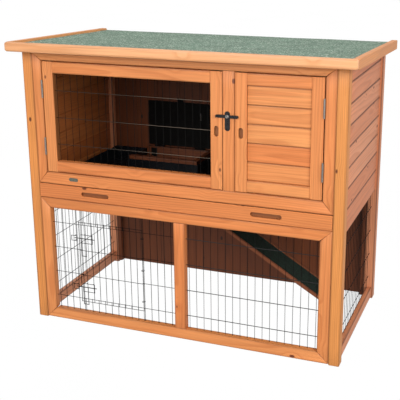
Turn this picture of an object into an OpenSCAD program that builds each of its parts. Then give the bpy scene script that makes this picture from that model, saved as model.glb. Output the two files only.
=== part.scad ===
// Two-storey wooden rabbit hutch with a mesh run below the living floor.
// Millimetres, +Z up, +X to the right seen from the front, the front faces -Y.
// The origin is on the ground, under the middle of the roof's outline.

/* [Roof] */
// Width over the roof trims, left to right
roof_w = 1160; // [1140:10:1240]
// Depth over the roof, front to rear
roof_d = 668; // [660:4:720]
// Height of the roof's front edge above the ground
roof_h = 984; // [980:2:1000]
// How much lower the roof is at the rear edge
roof_drop = 26; // [18:2:34]
// How far the front trim stands in front of the body
front_over = 50; // [46:2:60]
// Height of the roof trims
trim_h = 31; // [30:1:34]
// Width of the roof trims
trim_w = 18; // [16:1:22]
// How deep the felt lies below the top of the trims
felt_drop = 7; // [5:1:8]

/* [Body] */
// Width of the body over the corner posts
body_w = 1096; // [1090:2:1104]
// Depth of the body over the corner posts
body_d = 585; // [580:1:590]
// Side of the square corner posts
post = 36; // [34:1:38]
// Thickness of the front frames and of both doors
frame_t = 24; // [22:1:26]
// How far the side boards lie inside the posts' outer faces
side_inset = 8; // [6:1:10]
// Height of one side board
board_pitch = 66; // [66]
// Thickness of the side boards
board_t = 12; // [10:1:13]

/* [Upper storey] */
// Height of the underside of the upper frame
sill_z = 502.5; // [502:0.5:504]
// Height of the sill's top edge, where the doors begin
door_z0 = 543.5; // [543:0.5:545]
// Height of the top of the doors' opening
door_z1 = 922.5; // [920:0.5:924]
// Width of the upper frame's outer stiles
stile_w = 34; // [32:1:35]
// Width of the mullion between the two doors
mullion_w = 40; // [38:1:42]
// Distance of the mullion's middle from the body's left face
mullion_at = 725; // [720:1:730]
// Width of the doors' stiles and rails
door_rail = 38; // [36:1:40]
// Gap between a door and its opening
door_gap = 2.8; // [2.2:0.1:3.0]

/* [Lower storey] */
// Height of the underside of the lower frame's top rail
run_z1 = 415; // [410:1:416]
// Height of the top of the lower frame's bottom rail
run_z0 = 41; // [38:1:44]
// Distance of the run mullion's middle from the body's left face
run_mullion_at = 552; // [548:1:556]

/* [Mesh] */
// Diameter of the mesh wires
wire_d = 1.9; // [1.6:0.1:2.2]
// Spacing of the upright mesh wires
mesh_x = 25.4; // [25.4]
// Spacing of the level mesh wires
mesh_z = 91; // [90:0.5:92]

/* [Drawer and floor] */
// Height of the drawer front's lower edge
drawer_z = 452; // [451.5:0.5:453]
// Gap between the drawer front and the upper frame
drawer_gap = 2.3; // [1.5:0.1:2.5]
// Depth of the litter tray
tray_d = 540; // [530:1:540]
// Thickness of the tray's sheet
tray_t = 1.2; // [1:0.1:1.5]

/* [Ramp and hatch] */
// Width of the ramp over its side rails
ramp_w = 128; // [120:1:128]
// Slope of the ramp in degrees
ramp_angle = 31.5; // [31.3:0.1:31.7]
// Length of the hatch lid, hinge to front edge
lid_l = 177; // [172:1:178]
// Width of the hatch lid
lid_w = 260; // [250:2:264]

/* [Hidden] */
$fn = 48;

// Faces of the body
x_left = -body_w / 2;
x_right = body_w / 2;
y_front = -roof_d / 2 + front_over;
y_rear = y_front + body_d;
// Gap left in a glued corner joint
joint_gap = 0.1;
// Chamfer along the edges of sawn boards
edge_c = 1.5;

// Colours
wood = "#d9894a";
wood_side = "#d58c5c";
wood_dark = "#9c5a30";
felt_green = "#5d8270";
steel_black = "#26262a";
zinc = "#9a9ca0";

// Roof: height of the trims' top, the felt, the deck and the frame at a depth y
deck_t = 8;
felt_t = 2;
roof_frame_h = 15;
function trim_top(y) = roof_h - roof_drop * (y + roof_d / 2) / roof_d;
function felt_top(y) = trim_top(y) - felt_drop;
function deck_top(y) = felt_top(y) - felt_t;
function frame_top(y) = deck_top(y) - deck_t - joint_gap;
function body_top(y) = frame_top(y) - roof_frame_h;

// Upper frame
upper_x0 = x_left + post;
upper_x1 = x_right - post;
mullion_x = x_left + mullion_at;
mesh_door_x0 = upper_x0 + stile_w + door_gap;
mesh_door_x1 = mullion_x - mullion_w / 2 - door_gap / 2;
solid_door_x0 = mullion_x + mullion_w / 2 + door_gap / 2;
solid_door_x1 = upper_x1 - stile_w - door_gap;
door_bottom = door_z0 + door_gap;
door_top = door_z1 - door_gap;
top_rail_z = body_top(y_front + frame_t);

// Meshes lie in the middle of the frames
mesh_y = y_front + 11;
run_stile_w = 38;
lower_top_z = 450.5;
run_x0 = upper_x0 + run_stile_w;
run_x1 = upper_x1 - run_stile_w;
run_mullion_x = x_left + run_mullion_at;
run_mullion_w = 40;
run_wire_z0 = 88;
door_wire_z0 = 641;

// Door hinges
hinge_y = y_front - 3.2;
hinge_r = 3;
hinge_pin_r = 1.2;
hinge_l = 58;
leaf_t = 0.7;
leaf_d = 17;
hinge_zs = [634, 828];
hinge_x_left = upper_x0 + stile_w + door_gap / 2;
hinge_x_right = upper_x1 - stile_w - door_gap / 2;

// Turn latch
latch_x = mullion_x - 3;
latch_z = 783;
latch_hole_r = 3.6;

// Wire door in the run's left mesh; it turns on its own right-hand upright
wire_x0 = x_left + 176;
wire_x1 = x_left + 418;
wire_z0 = 80;
wire_z1 = 372;
wire_door_y = mesh_y - 3.4;
wire_axis_x = wire_x1 - 3;
door_wire_d = 2.4;
wire_ring_zs = [112, 226, 340];
wire_latch_zs = [135, 315];
bolt_d = 3;
bolt_y = wire_door_y - 4.3;
loop_d = 2;
loop_y = bolt_y - 2.8;

// Drawer
drawer_h = sill_z - drawer_z - drawer_gap;
drawer_t = 20;
tray_x0 = upper_x0 + 6;
tray_x1 = upper_x1 - 6;
tray_y0 = y_front + drawer_t + 0.05;
tray_z = 452;
tray_rim = 47;
screw_xs = [-400, -130, 130, 400];
screw_z = drawer_z + 26;
screw_r = 1.6;

// Floor and hatch, distances from the left face and the front face of the body
floor_z = 441.5;
floor_t = 9;
runner_h = 25.5;
runner_w = 24;
hatch_x0 = x_left + 197;
hatch_x1 = x_left + 437;
hatch_y0 = y_front + 414;
hatch_y1 = y_front + 551;
curb_t = 18;
curb_z = 512;
lid_t = 9;
lid_x = x_left + 317;
lid_hinge_y = y_front + 558.5;
lid_hinge_z = curb_z + 3.1;

// Ramp: top end inside the hatch's left end, foot on the ground
ramp_top_x = hatch_x0 + 2.5;
ramp_top_z = 475.3;
ramp_t = 10;
ramp_rail_h = 15;
ramp_rail_w = 7;
ramp_y = (hatch_y0 + hatch_y1) / 2;
ramp_l = (ramp_top_z - 4) / sin(ramp_angle);
ramp_rail_x = 4;
rod_at = 9;
rod_r = 2.5;
rod_x = ramp_top_x + rod_at * cos(ramp_angle) - sin(ramp_angle);
rod_z = ramp_top_z - rod_at * sin(ramp_angle) - cos(ramp_angle);

// ---------- helpers ----------

// Rectangle with cut corners, from the origin
module chamfer_rect(w, h, c) {
    polygon([[c, 0], [w - c, 0], [w, c], [w, h - c], [w - c, h], [c, h], [0, h - c], [0, c]]);
}

// Sawn board from corner p with size s, chamfered along its longest side
module board(p, s, c = edge_c) {
    long = max(s);
    if (s[2] == long) translate(p) linear_extrude(s[2]) chamfer_rect(s[0], s[1], c);
    else if (s[0] == long) translate(p) rotate([90, 0, 90]) linear_extrude(s[0]) chamfer_rect(s[1], s[2], c);
    else translate([p[0], p[1] + s[1], p[2]]) rotate([90, 0, 0]) linear_extrude(s[1]) chamfer_rect(s[0], s[2], c);
}

// Outline in the XZ plane, extruded from y0 towards +Y by t
module xz_plate(y0, t) {
    translate([0, y0 + t, 0]) rotate([90, 0, 0]) linear_extrude(t) children();
}

// Outline in the YZ plane, extruded from x0 towards +X by t
module yz_plate(x0, t) {
    translate([x0, 0, 0]) rotate([90, 0, 90]) linear_extrude(t) children();
}

// Everything that lies under the roof frame
module under_roof() {
    intersection() {
        children();
        yz_plate(-roof_w, 2 * roof_w)
            polygon([[-roof_d, 0], [roof_d, 0], [roof_d, body_top(roof_d)], [-roof_d, body_top(-roof_d)]]);
    }
}

// Slot with round ends, l long and w wide, along X, centred on the origin
module slot2d(l, w) {
    square([l - w, w], center = true);
    for (side = [-1, 1]) translate([side * (l - w) / 2, 0]) circle(d = w);
}

// Four frame members with mitred corners; widths are left, bottom, right, top
module mitred_frame(x0, z0, x1, z1, w) {
    g = joint_gap / 2;
    xi0 = x0 + w[0];
    zi0 = z0 + w[1];
    xi1 = x1 - w[2];
    zi1 = z1 - w[3];
    xz_plate(y_front, frame_t) {
        polygon([[x0, z0 + g], [xi0, zi0 + g], [xi0, zi1 - g], [x0, z1 - g]]);
        polygon([[x1, z0 + g], [x1, z1 - g], [xi1, zi1 - g], [xi1, zi0 + g]]);
        polygon([[x0 + g, z0], [x1 - g, z0], [xi1 - g, zi0], [xi0 + g, zi0]]);
        polygon([[x0 + g, z1], [xi0 + g, zi1], [xi1 - g, zi1], [x1 - g, z1]]);
    }
}

// Straight wires with a true octagon section
module wire_z(x, y, z0, z1, d = wire_d) {
    translate([x, y, z0]) cylinder(d = d, h = z1 - z0, $fn = 8);
}
module wire_x(x0, x1, y, z, d = wire_d) {
    translate([x0, y, z]) rotate([0, 90, 0]) cylinder(d = d, h = x1 - x0, $fn = 8);
}
module wire_y(x, y0, y1, z, d = wire_d) {
    translate([x, y1, z]) rotate([90, 0, 0]) cylinder(d = d, h = y1 - y0, $fn = 8);
}

// Welded grid in the XZ plane: upright wires behind the level ones
module grid_xz(x0, x1, z0, z1, xs, zs, y) {
    for (x = xs) wire_z(x, y + wire_d * 0.8, z0, z1);
    for (z = zs) wire_x(x0, x1, y, z);
}

// Welded grid in the YZ plane
module grid_yz(y0, y1, z0, z1, ys, zs, x, side) {
    for (y = ys) wire_z(x - side * wire_d * 0.8, y, z0, z1);
    for (z = zs) wire_y(x, y0, y1, z);
}

// ---------- posts and frames ----------

module corner_post(x, y) {
    under_roof() board([x, y, 0], [post, post, roof_h], 2);
}
module front_post_left() color(wood) corner_post(x_left, y_front);
module front_post_right() color(wood) corner_post(x_right - post, y_front);
module rear_post_left() color(wood_side) corner_post(x_left, y_rear - post);
module rear_post_right() color(wood_side) corner_post(x_right - post, y_rear - post);

module upper_frame() {
    color(wood)
        mitred_frame(upper_x0, sill_z, upper_x1, top_rail_z,
            [stile_w, door_z0 - sill_z, stile_w, top_rail_z - door_z1]);
}

module door_mullion() {
    color(wood)
        board([mullion_x - mullion_w / 2, y_front, door_z0], [mullion_w, frame_t, door_z1 - door_z0]);
}

module lower_frame() {
    color(wood)
        mitred_frame(upper_x0, 3, upper_x1, lower_top_z,
            [run_stile_w, run_z0 - 3, run_stile_w, lower_top_z - run_z1]);
}

module run_mullion() {
    color(wood)
        board([run_mullion_x - run_mullion_w / 2, y_front, run_z0], [run_mullion_w, frame_t, run_z1 - run_z0]);
}

// ---------- walls ----------

boards_z0 = 503;
boards_y0 = y_front + post;
boards_l = body_d - 2 * post;
plinth_z = 425;

// Board outline with a tongue-and-groove shadow line at its foot
module side_board(x, z, h) {
    board([x, boards_y0, z + 0.6], [board_t, boards_l, h - 0.6], 2);
}

module side_boards(x) {
    under_roof() {
        side_board(x, plinth_z, boards_z0 - plinth_z);
        for (k = [0:6]) side_board(x, boards_z0 + k * board_pitch, board_pitch);
    }
}
module side_boards_left() color(wood_side) side_boards(x_left + side_inset);
module side_boards_right() color(wood_side) side_boards(x_right - side_inset - board_t);

// Upright boards of the rear wall
rear_boards = 11;
rear_y = y_rear - 16;
module rear_wall(z0, z1) {
    w = (body_w - 2 * post) / rear_boards;
    under_roof()
        for (k = [0:rear_boards - 1])
            board([upper_x0 + k * w + 0.2, rear_y, z0], [w - 0.4, 10, z1 - z0], 1.2);
}
module rear_wall_upper() color(wood_dark) rear_wall(450, roof_h);
module rear_wall_lower() color(wood_dark) rear_wall(8, 449.5);

// Rails behind the rear wall, and upright battens inside the run's rear corners
batten = 15;
module rear_rails() {
    color(wood_dark) {
        under_roof()
            for (z = [12, 420, 885])
                board([upper_x0, rear_y + 10.05, z], [upper_x1 - upper_x0, 5.9, 36], 1);
        for (x = [upper_x0, upper_x1 - batten])
            board([x, rear_y - 20, 8], [batten, 19.95, floor_z - 8.1]);
    }
}

// Rails at the foot of both sides
module side_bottom_rails() {
    color(wood_side)
        for (x = [x_left + 5, x_right - 5 - 20])
            board([x, boards_y0, 8], [20, boards_l, 37]);
}

// Rails inside both sides: they carry the floor, and the side meshes hang from them
module floor_runners() {
    color(wood)
        for (x = [x_left + side_inset + board_t + 0.05, x_right - side_inset - board_t - runner_w - 0.05])
            board([x, boards_y0, floor_z - runner_h], [runner_w, boards_l, runner_h]);
}

module floor_panel() {
    color(wood_dark)
        difference() {
            translate([upper_x0 + 0.2, y_front + frame_t + 0.2, floor_z])
                cube([body_w - 2 * post - 0.4, rear_y - y_front - frame_t - 0.4, floor_t]);
            translate([hatch_x0, hatch_y0, floor_z - 1])
                cube([hatch_x1 - hatch_x0, hatch_y1 - hatch_y0, floor_t + 2]);
        }
}

// Wall between living room and nest, with an arched doorway
partition_y0 = y_front + frame_t + 0.3;
partition_y1 = rear_y - 0.3;
doorway_w = 170;
doorway_y = y_front + 300;
doorway_z0 = 545;
doorway_z1 = 700;
module partition() {
    color(wood_dark)
        under_roof()
            yz_plate(mullion_x - 5, 9)
                difference() {
                    translate([partition_y0, 506]) square([partition_y1 - partition_y0, roof_h - 506]);
                    translate([doorway_y - doorway_w / 2, doorway_z0]) square([doorway_w, doorway_z1 - doorway_z0]);
                    translate([doorway_y, doorway_z1]) circle(d = doorway_w, $fn = 64);
                }
}

// ---------- drawer ----------

// Finger slots of the drawer front, distances from the body's left face
drawer_slots = [248, 848];
module drawer_front() {
    color(wood)
        difference() {
            board([upper_x0 + 1, y_front, drawer_z], [body_w - 2 * post - 2, drawer_t, drawer_h]);
            for (x = drawer_slots)
                translate([x_left + x, y_front + 8, drawer_z + drawer_h / 2])
                    rotate([90, 0, 0]) linear_extrude(10) slot2d(103, 15);
            drawer_screw_holes();
        }
}
module drawer_screw_holes() {
    for (x = screw_xs)
        translate([x, tray_y0 + 4, screw_z]) rotate([90, 0, 0]) cylinder(r = screw_r, h = 15);
}

// Litter tray: folded sheet with a notch around the hatch, open to the rear
notch_x0 = hatch_x0 - curb_t - 4;
notch_x1 = hatch_x1 + curb_t + 4;
notch_y = hatch_y0 - curb_t - 4;
module tray_outline() {
    difference() {
        translate([tray_x0, tray_y0]) square([tray_x1 - tray_x0, tray_d]);
        translate([notch_x0, notch_y]) square([notch_x1 - notch_x0, tray_d]);
    }
}
module tray_inner() {
    difference() {
        translate([tray_x0 + tray_t, tray_y0 + tray_t])
            square([tray_x1 - tray_x0 - 2 * tray_t, tray_d - 2 * tray_t]);
        translate([notch_x0 - tray_t, notch_y - tray_t])
            square([notch_x1 - notch_x0 + 2 * tray_t, tray_d]);
    }
}
module tray() {
    color(steel_black)
        difference() {
            translate([0, 0, tray_z - tray_t]) linear_extrude(tray_rim + tray_t) tray_outline();
            translate([0, 0, tray_z]) linear_extrude(tray_rim + 1) tray_inner();
            drawer_screw_holes();
        }
}

// Screws that hold the tray to the drawer front
module drawer_screws() {
    color(zinc)
        for (x = screw_xs)
            translate([x, tray_y0 + tray_t, screw_z])
                rotate([-90, 0, 0]) {
                    cylinder(r = 4, h = 2);
                    translate([0, 0, -11]) cylinder(r = screw_r, h = 11.5);
                }
}

// ---------- roof ----------

side_trim_x = roof_w / 2;
roof_y0 = -roof_d / 2;
roof_y1 = roof_d / 2;

// Strip of the roof between two depths, under a top function given by its two heights
module roof_slab(x0, x1, y0, y1, z0, z1, t) {
    yz_plate(x0, x1 - x0) polygon([[y0, z0 - t], [y1, z1 - t], [y1, z1], [y0, z0]]);
}

module roof_frame() {
    color(wood_dark) {
        for (y = [y_front, y_rear - 30])
            roof_slab(x_left, x_right, y, y + 30, frame_top(y), frame_top(y + 30), roof_frame_h);
        for (x = [x_left, mullion_x - 15, x_right - 30])
            roof_slab(x, x + 30, y_front + 30.1, y_rear - 30.1, frame_top(y_front + 30.1),
                frame_top(y_rear - 30.1), roof_frame_h);
    }
}

module roof_deck() {
    color(wood_dark)
        roof_slab(-side_trim_x + trim_w, side_trim_x - trim_w, roof_y0 + trim_w, roof_y1,
            deck_top(roof_y0 + trim_w), deck_top(roof_y1), deck_t);
}

module roof_felt() {
    color(felt_green)
        roof_slab(-side_trim_x + trim_w, side_trim_x - trim_w, roof_y0 + trim_w, roof_y1,
            felt_top(roof_y0 + trim_w), felt_top(roof_y1), felt_t);
}

// Rounded bar section, w wide and h high, corner radius r
module round_rect(w, h, r) {
    translate([r, 0]) square([w - 2 * r, h]);
    translate([0, r]) square([w, h - 2 * r]);
    for (x = [r, w - r]) for (z = [r, h - r]) translate([x, z]) circle(r = r);
}

module roof_trim_front() {
    color(wood)
        yz_plate(-roof_w / 2, roof_w)
            translate([roof_y0, roof_h - trim_h]) round_rect(trim_w, trim_h, 6);
}

// Side trims: their tops follow the roof, their rear ends are rounded
module trim_side_outline() {
    y0 = roof_y0 + trim_w;
    r = 7;
    intersection() {
        polygon([[y0, trim_top(y0) - trim_h], [roof_y1, trim_top(roof_y1) - trim_h],
            [roof_y1, trim_top(roof_y1)], [y0, trim_top(y0)]]);
        union() {
            translate([y0, 0]) square([roof_d - trim_w - r, 2 * roof_h]);
            translate([roof_y1 - 3 * r, trim_top(roof_y1) - trim_h + r]) square([3 * r, trim_h - 2 * r]);
            for (z = [r, trim_h - r])
                translate([roof_y1 - r, trim_top(roof_y1) - trim_h + z]) circle(r = r);
        }
    }
}
module roof_trims_side() {
    color(wood)
        for (x = [-roof_w / 2, roof_w / 2 - trim_w])
            yz_plate(x, trim_w) trim_side_outline();
}

module badge_plate() {
    color("#8d8f86")
        xz_plate(y_front - 0.8, 0.8)
            translate([x_left + 170, 524]) slot2d(34, 12);
}

// ---------- doors ----------

// Pair of door stiles, the free one with a finger slot at slot_x
module door_stiles(x0, x1, slot_x) {
    difference() {
        for (x = [x0, x1 - door_rail])
            board([x, y_front, door_bottom], [door_rail, frame_t, door_top - door_bottom]);
        translate([slot_x, y_front + 9, 733])
            rotate([90, 0, 0]) rotate([0, 0, 90]) linear_extrude(12) slot2d(34, 15);
    }
}

// Pair of door rails between the stiles
module door_rails(x0, x1) {
    for (z = [door_bottom, door_top - door_rail])
        board([x0 + door_rail, y_front, z], [x1 - x0 - 2 * door_rail, frame_t, door_rail]);
}

module mesh_door_stiles() color(wood) door_stiles(mesh_door_x0, mesh_door_x1, x_left + 685);
module mesh_door_rails() color(wood) door_rails(mesh_door_x0, mesh_door_x1);
module solid_door_stiles() color(wood) door_stiles(solid_door_x0, solid_door_x1, x_left + 765);
module solid_door_rails() color(wood) door_rails(solid_door_x0, solid_door_x1);

// The wires end at the inner faces of the stiles and rails
module mesh_door_mesh() {
    x0 = mesh_door_x0 + door_rail;
    x1 = mesh_door_x1 - door_rail;
    color(steel_black)
        grid_xz(x0, x1, door_bottom + door_rail, door_top - door_rail,
            [for (x = [x0 + 8:mesh_x:x1 - 4]) x],
            [for (k = [0:2]) door_wire_z0 + k * mesh_z], mesh_y);
}

// Weatherboards of the nest door
module solid_door_boards() {
    z0 = door_bottom + door_rail;
    z1 = door_top - door_rail;
    n = 5;
    h = (z1 - z0) / n;
    color(wood)
        for (k = [0:n - 1])
            board([solid_door_x0 + door_rail, y_front + 5, z0 + k * h + 0.3],
                [solid_door_x1 - solid_door_x0 - 2 * door_rail, 11, h - 0.6], 2);
}

// ---------- door hinges ----------

// Barrel pieces: the fixed leaf has the two outer ones, the moving leaf the middle one
barrel_gap = 0.4;
function barrel_spans(moving) = moving
    ? [[-hinge_l / 6 + barrel_gap / 2, hinge_l / 6 - barrel_gap / 2]]
    : [[-hinge_l / 2, -hinge_l / 6 - barrel_gap / 2], [hinge_l / 6 + barrel_gap / 2, hinge_l / 2]];

// One hinge leaf on the +X side of its axis, mirrored for the other side
module hinge_leaf(moving) {
    leaf_x = door_gap / 2 - leaf_t;
    difference() {
        union() {
            translate([leaf_x, 3.6, -hinge_l / 2]) cube([leaf_t, leaf_d - 3.6, hinge_l]);
            for (s = barrel_spans(moving)) {
                translate([0, 0, s[0]]) cylinder(r = hinge_r, h = s[1] - s[0]);
                translate([leaf_x, 0, s[0]]) cube([leaf_t, 4, s[1] - s[0]]);
            }
        }
        translate([0, 0, -hinge_l]) cylinder(r = hinge_pin_r + 0.1, h = 2 * hinge_l);
    }
}

module leaf_at(x, z, side, moving) {
    translate([x, hinge_y, z]) mirror([side < 0 ? 1 : 0, 0, 0]) hinge_leaf(moving);
}
module frame_hinge_leaves() {
    color(zinc)
        for (z = hinge_zs) {
            leaf_at(hinge_x_left, z, -1, false);
            leaf_at(hinge_x_right, z, 1, false);
        }
}
module mesh_door_hinge_leaves() {
    color(zinc) for (z = hinge_zs) leaf_at(hinge_x_left, z, 1, true);
}
module solid_door_hinge_leaves() {
    color(zinc) for (z = hinge_zs) leaf_at(hinge_x_right, z, -1, true);
}
module door_hinge_pins() {
    color(zinc)
        for (x = [hinge_x_left, hinge_x_right]) for (z = hinge_zs)
            translate([x, hinge_y, z - hinge_l / 2 - 1]) cylinder(r = hinge_pin_r, h = hinge_l + 2);
}

// ---------- turn latch ----------

plate_t = 1.4;
bar_y = y_front - plate_t - 4.2;
module latch_plate() {
    color(steel_black)
        xz_plate(y_front - plate_t, plate_t)
            translate([latch_x, latch_z - 15]) rotate(90) slot2d(62, 17);
}
module latch_bar() {
    color(steel_black)
        difference() {
            union() {
                xz_plate(bar_y, 3.4) translate([latch_x, latch_z]) slot2d(74, 9.5);
                translate([latch_x, bar_y + 3.4, latch_z]) rotate([90, 0, 0]) cylinder(r = 7.5, h = 3.4);
                translate([latch_x - 36, bar_y - 5, latch_z - 4]) cube([3, 6, 8]);
            }
            translate([latch_x, bar_y + 10, latch_z]) rotate([90, 0, 0]) cylinder(r = latch_hole_r, h = 20);
        }
}
module latch_pivot() {
    color(zinc)
        translate([latch_x, y_front - plate_t, latch_z])
            rotate([90, 0, 0]) {
                cylinder(r = latch_hole_r - 0.3, h = 5);
                translate([0, 0, 4.6]) cylinder(r1 = 6, r2 = 4, h = 2.4);
            }
}

// ---------- meshes of the run ----------

run_wire_zs = [for (k = [0:3]) run_wire_z0 + k * mesh_z];

// Left panel: the wires stop around the wire door's opening
module run_mesh_left() {
    x1 = run_mullion_x - run_mullion_w / 2;
    ox0 = wire_x0 + 7;
    ox1 = wire_x1 - 6;
    oz0 = run_wire_zs[0];
    oz1 = run_wire_zs[3];
    xs = [for (x = [run_x0 + 12:mesh_x:x1 - 6]) x];
    uy = mesh_y + wire_d * 0.8;
    color(steel_black) {
        for (x = xs)
            if (x < ox0 || x > ox1) wire_z(x, uy, run_z0, run_z1);
            else {
                wire_z(x, uy, run_z0, oz0 + 1);
                wire_z(x, uy, oz1 - 1, run_z1);
            }
        for (x = [ox0, ox1]) wire_z(x, uy, run_z0, run_z1);
        for (z = [oz0, oz1]) wire_x(run_x0, x1, mesh_y, z);
        for (z = [run_wire_zs[1], run_wire_zs[2]]) {
            wire_x(run_x0, ox0 + 1, mesh_y, z);
            wire_x(ox1 - 1, x1, mesh_y, z);
        }
    }
}

module run_mesh_right() {
    x0 = run_mullion_x + run_mullion_w / 2;
    color(steel_black)
        grid_xz(x0, run_x1, run_z0, run_z1, [for (x = [x0 + 10:mesh_x:run_x1 - 6]) x], run_wire_zs, mesh_y);
}

module side_mesh(x, side) {
    y0 = boards_y0;
    y1 = y_rear - post;
    color(steel_black)
        grid_yz(y0, y1, 45, floor_z - runner_h, [for (y = [y0 + 14:mesh_x:y1 - 6]) y], run_wire_zs, x, side);
}
module side_mesh_left() side_mesh(x_left + 19, -1);
module side_mesh_right() side_mesh(x_right - 19, 1);

// ---------- wire door ----------

wire_door_xs = [for (k = [0:8]) wire_x0 + 24 + k * 24.2];
module wire_door() {
    color(steel_black) {
        for (x = wire_door_xs) wire_z(x, wire_door_y, wire_z0 - 2, wire_z1 + 2);
        wire_z(wire_x0, wire_door_y, wire_z0 - 2, wire_z1 + 2, door_wire_d);
        translate([wire_axis_x, wire_door_y, wire_z0 - 2]) cylinder(d = door_wire_d, h = wire_z1 - wire_z0 + 4);
        for (z = [wire_z0, run_wire_zs[1], run_wire_zs[2], wire_z1])
            wire_x(wire_x0 - 1, wire_x1 - 2, wire_door_y - wire_d * 0.7, z);
    }
}

// Rings that tie the door's turning wire to the mesh's upright wire
ring_x = wire_x1 - 4.5;
ring_y = wire_door_y + 2.4;
module wire_door_rings() {
    color(zinc)
        for (z = wire_ring_zs)
            translate([ring_x, ring_y, z])
                rotate_extrude() translate([5.2, 0]) circle(d = 1.6);
}

// Rectangular loops hung on two of the door's uprights: the bolts slide behind them
loop_x0 = wire_x0 + 10;
loop_x1 = wire_x0 + 54;
loop_h = 15;
module latch_guides() {
    color(steel_black)
        for (z = wire_latch_zs) {
            for (x = [loop_x0, loop_x1]) wire_z(x, loop_y, z - loop_h, z + loop_h, loop_d);
            for (dz = [-loop_h, loop_h]) wire_x(loop_x0 - 1, loop_x1 + 1, loop_y, z + dz, loop_d);
            for (k = [0, 1]) wire_y(wire_door_xs[k], loop_y, wire_door_y - 0.6, z + loop_h, loop_d);
        }
}

// Loops on the mesh's upright wire: the ends of the bolts lie behind them
keeper_x = run_x0 + 12 + 3 * mesh_x;
keeper_x0 = wire_x0 - 26;
keeper_x1 = wire_x0 - 6;
keeper_h = 9;
module latch_keepers() {
    color(steel_black)
        for (z = wire_latch_zs) {
            for (x = [keeper_x0, keeper_x1]) wire_z(x, loop_y, z - keeper_h, z + keeper_h, loop_d);
            for (dz = [-keeper_h, keeper_h]) {
                wire_x(keeper_x0 - 1, keeper_x1 + 1, loop_y, z + dz, loop_d);
                wire_y(keeper_x, loop_y, mesh_y + 1, z + dz, loop_d);
            }
        }
}

// Sliding bolt with a bent finger pull
pull_xs = [wire_x0 + 9, wire_x0 + 27];
pull_l = 64;
pull_d = 2.4;
module wire_latch(z) {
    color(steel_black) {
        wire_x(wire_x0 - 16, wire_x0 + 60, bolt_y, z, bolt_d);
        for (x = pull_xs) wire_z(x, bolt_y, z - pull_l, z, pull_d);
        wire_x(pull_xs[0] - 1, pull_xs[1] + 1, bolt_y, z - pull_l, pull_d);
    }
}
module wire_latch_upper() wire_latch(wire_latch_zs[1]);
module wire_latch_lower() wire_latch(wire_latch_zs[0]);

// ---------- hatch ----------

module hatch_curb() {
    z0 = floor_z + floor_t + 0.05;
    color(wood) {
        for (y = [hatch_y0 - curb_t, hatch_y1])
            board([hatch_x0 - curb_t, y, z0], [hatch_x1 - hatch_x0 + 2 * curb_t, curb_t - 0.3, curb_z - z0], 2);
        translate([hatch_x1 + 0.1, hatch_y0, z0]) cube([curb_t, hatch_y1 - hatch_y0 - 0.1, curb_z - z0]);
        translate([hatch_x0 - curb_t, hatch_y0, z0]) cube([curb_t, hatch_y1 - hatch_y0 - 0.1, 24]);
    }
}

// The lid stands open against the rear wall
lid_y = lid_hinge_y + 0.6;
lid_root = 3.2;
module hatch_lid() {
    color(steel_black)
        translate([lid_x - lid_w / 2, lid_y, lid_hinge_z + lid_root]) cube([lid_w, lid_t, lid_l - lid_root]);
}

// Strap bent over the lid's free edge, and the hook screwed to its face
module lid_fittings() {
    color(steel_black)
        translate([lid_x - 9, lid_y - 1.8, lid_hinge_z + lid_l - 20]) {
            cube([26, 1.7, 34]);
            translate([0, 0, 32]) cube([26, 7, 2]);
        }
    color(zinc)
        translate([lid_x + 91, lid_y - 0.05, lid_hinge_z + 135])
            rotate([90, 0, 0]) {
                cylinder(r = 4, h = 1.6);
                cylinder(r = 1.8, h = 5);
                translate([-1.2, -22, 2]) cube([2.4, 22, 2]);
            }
}

// Two small butt hinges between the curb's rear board and the lid
lid_hinge_xs = [lid_x - 85, lid_x + 85];
module lid_barrel(x, x0, x1) {
    translate([x + x0, lid_hinge_y, lid_hinge_z]) rotate([0, 90, 0]) cylinder(r = 2.6, h = x1 - x0);
}
module lid_hinge_fixed() {
    color(zinc)
        for (x = lid_hinge_xs) {
            difference() {
                union() {
                    lid_barrel(x, -20, -7);
                    lid_barrel(x, 7, 20);
                    for (dx = [-20, 7])
                        translate([x + dx, lid_hinge_y - 6, curb_z]) cube([13, 6, 1]);
                    translate([x - 20, lid_hinge_y - 6, curb_z]) cube([40, 3, 1]);
                }
                lid_bore(x);
            }
            translate([x - 20.5, lid_hinge_y, lid_hinge_z]) rotate([0, 90, 0]) cylinder(r = 1, h = 41);
        }
}
module lid_bore(x) {
    translate([x - 30, lid_hinge_y, lid_hinge_z]) rotate([0, 90, 0]) cylinder(r = 1.1, h = 60);
}
module lid_hinge_moving() {
    color(zinc)
        for (x = lid_hinge_xs)
            difference() {
                union() {
                    lid_barrel(x, -6.6, 6.6);
                    translate([x - 6.6, lid_hinge_y - 0.4, lid_hinge_z]) cube([13.2, 0.9, 6]);
                    translate([x - 20, lid_hinge_y - 0.4, lid_hinge_z + 4]) cube([40, 0.9, 18]);
                }
                lid_bore(x);
            }
}

// ---------- ramp ----------

// Ramp frame: +X runs down the slope from the hinge, +Z is normal to the board
module on_ramp() {
    translate([ramp_top_x, ramp_y, ramp_top_z]) rotate([0, ramp_angle, 0]) children();
}

// Keeps what lies above the ground
module above_ground() {
    intersection() {
        children();
        translate([-roof_w, -roof_d, 0]) cube([2 * roof_w, 2 * roof_d, roof_h]);
    }
}

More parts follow.
